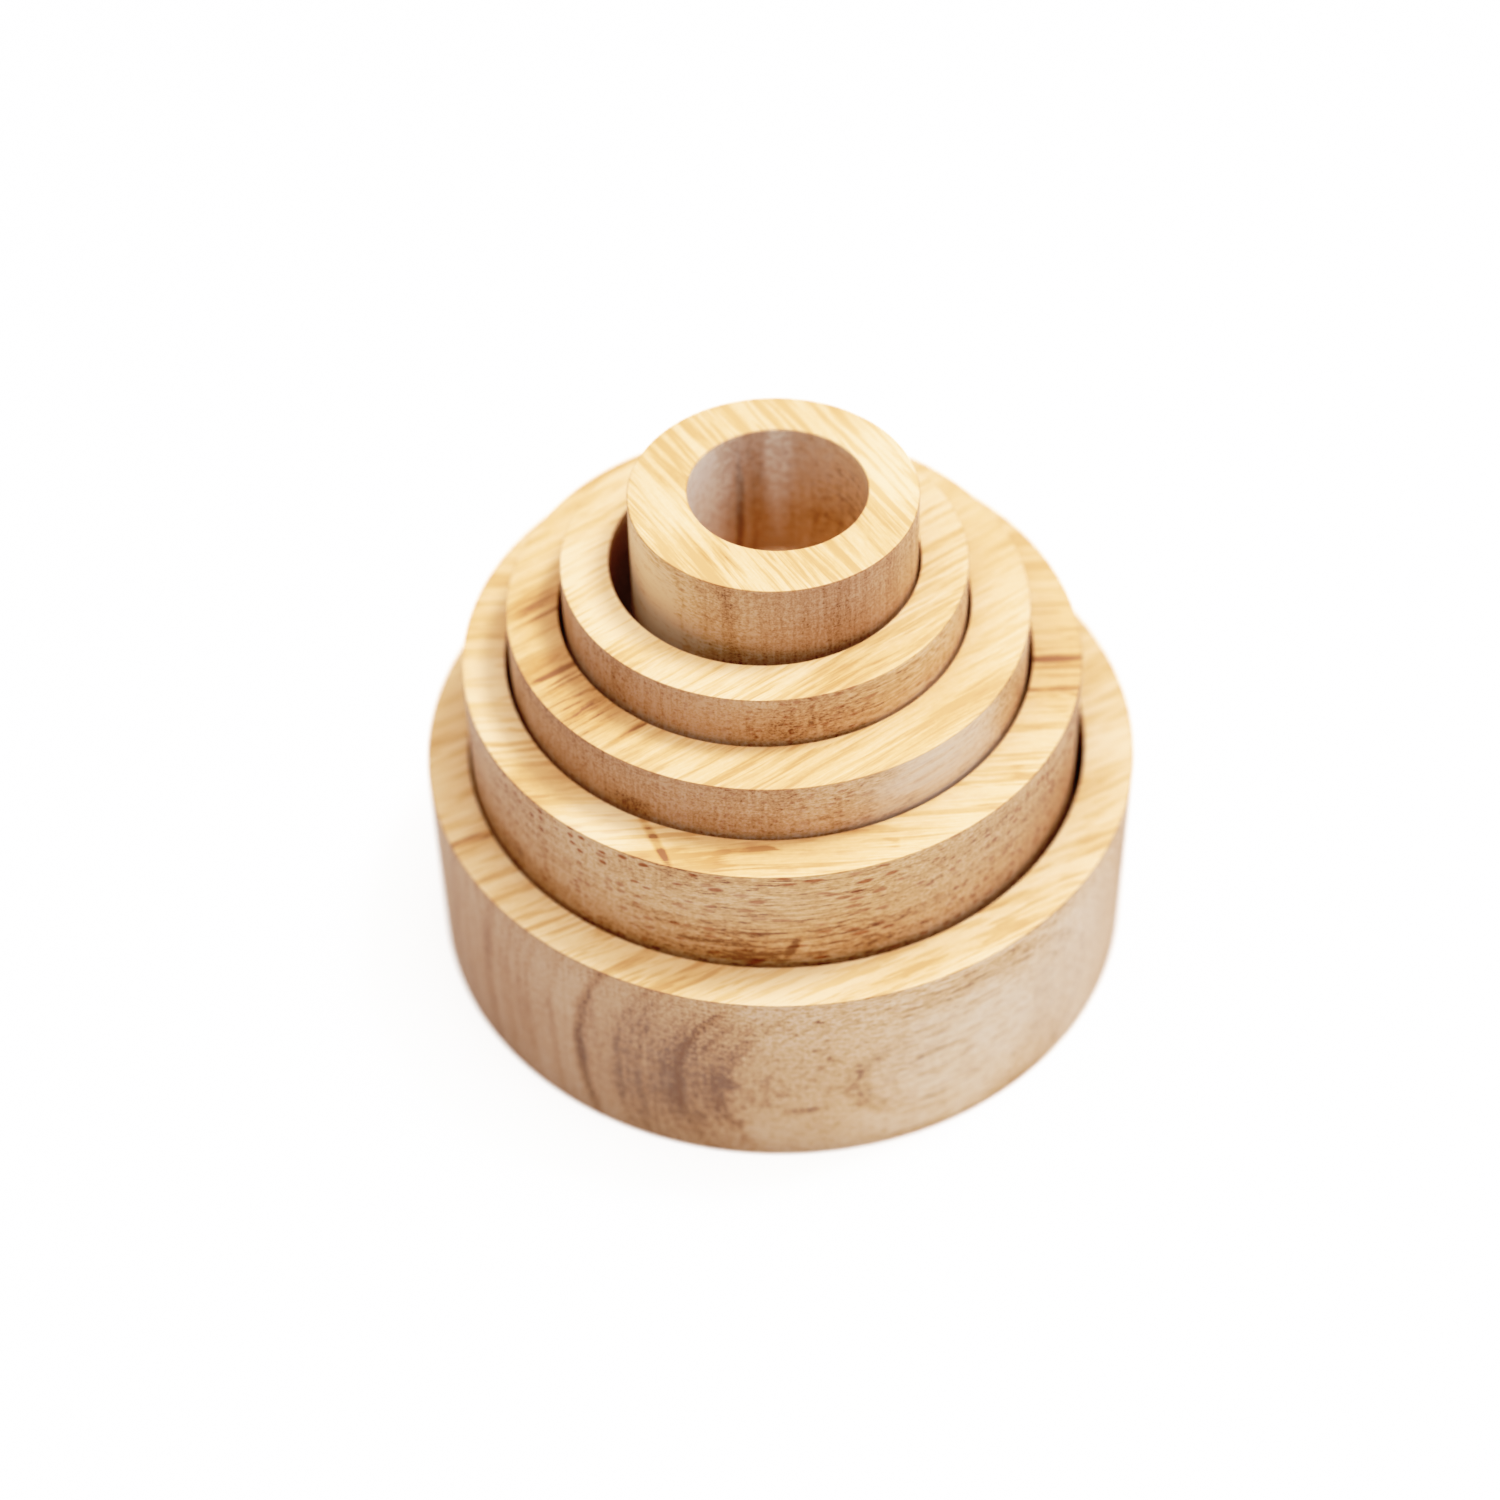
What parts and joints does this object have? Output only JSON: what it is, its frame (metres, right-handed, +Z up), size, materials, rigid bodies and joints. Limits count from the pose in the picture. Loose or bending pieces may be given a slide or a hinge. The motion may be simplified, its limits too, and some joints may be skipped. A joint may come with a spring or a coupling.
{
  "type": "nesting cup set",
  "caption": "Round turned wooden cups nested one inside the next as a stepped tower; each has a flat rim, a straight wall and a thick floor, and lifts straight out.",
  "frame": {"origin": "centre of the largest cup's underside, where it rests on the table", "axes": "+Z up along the cups' axes, the way every cup lifts out; -Y towards the viewer"},
  "size_m": [0.12, 0.12, 0.0926],
  "materials": {
    "largest_cup_wood": "bare sanded rubberwood, pale with a pinkish wall",
    "large_cup_wood": "bare sanded rubberwood, golden, with brown pores",
    "middle_cup_wood": "bare sanded rubberwood, pale cream to tan",
    "small_cup_wood": "bare sanded rubberwood, cream with a brown wall",
    "smallest_cup_wood": "bare sanded rubberwood, cream with a tan to brown wall"
  },
  "bodies": {
    "largest_cup": {"largest_cup": "largest_cup_wood"},
    "large_cup": {"large_cup": "large_cup_wood"},
    "middle_cup": {"middle_cup": "middle_cup_wood"},
    "small_cup": {"small_cup": "small_cup_wood"},
    "smallest_cup": {"smallest_cup": "smallest_cup_wood"}
  },
  "joints": [
    {"name": "large_cup_lift", "type": "slide", "parent": "largest_cup", "child": "large_cup", "axis": [0, 0, 1], "range_m": [0, 0.03]},
    {"name": "middle_cup_lift", "type": "slide", "parent": "large_cup", "child": "middle_cup", "axis": [0, 0, 1], "range_m": [0, 0.04]},
    {"name": "small_cup_lift", "type": "slide", "parent": "middle_cup", "child": "small_cup", "axis": [0, 0, 1], "range_m": [0, 0.04]},
    {"name": "smallest_cup_lift", "type": "slide", "parent": "small_cup", "child": "smallest_cup", "axis": [0, 0, 1], "range_m": [0, 0.036]}
  ]
}
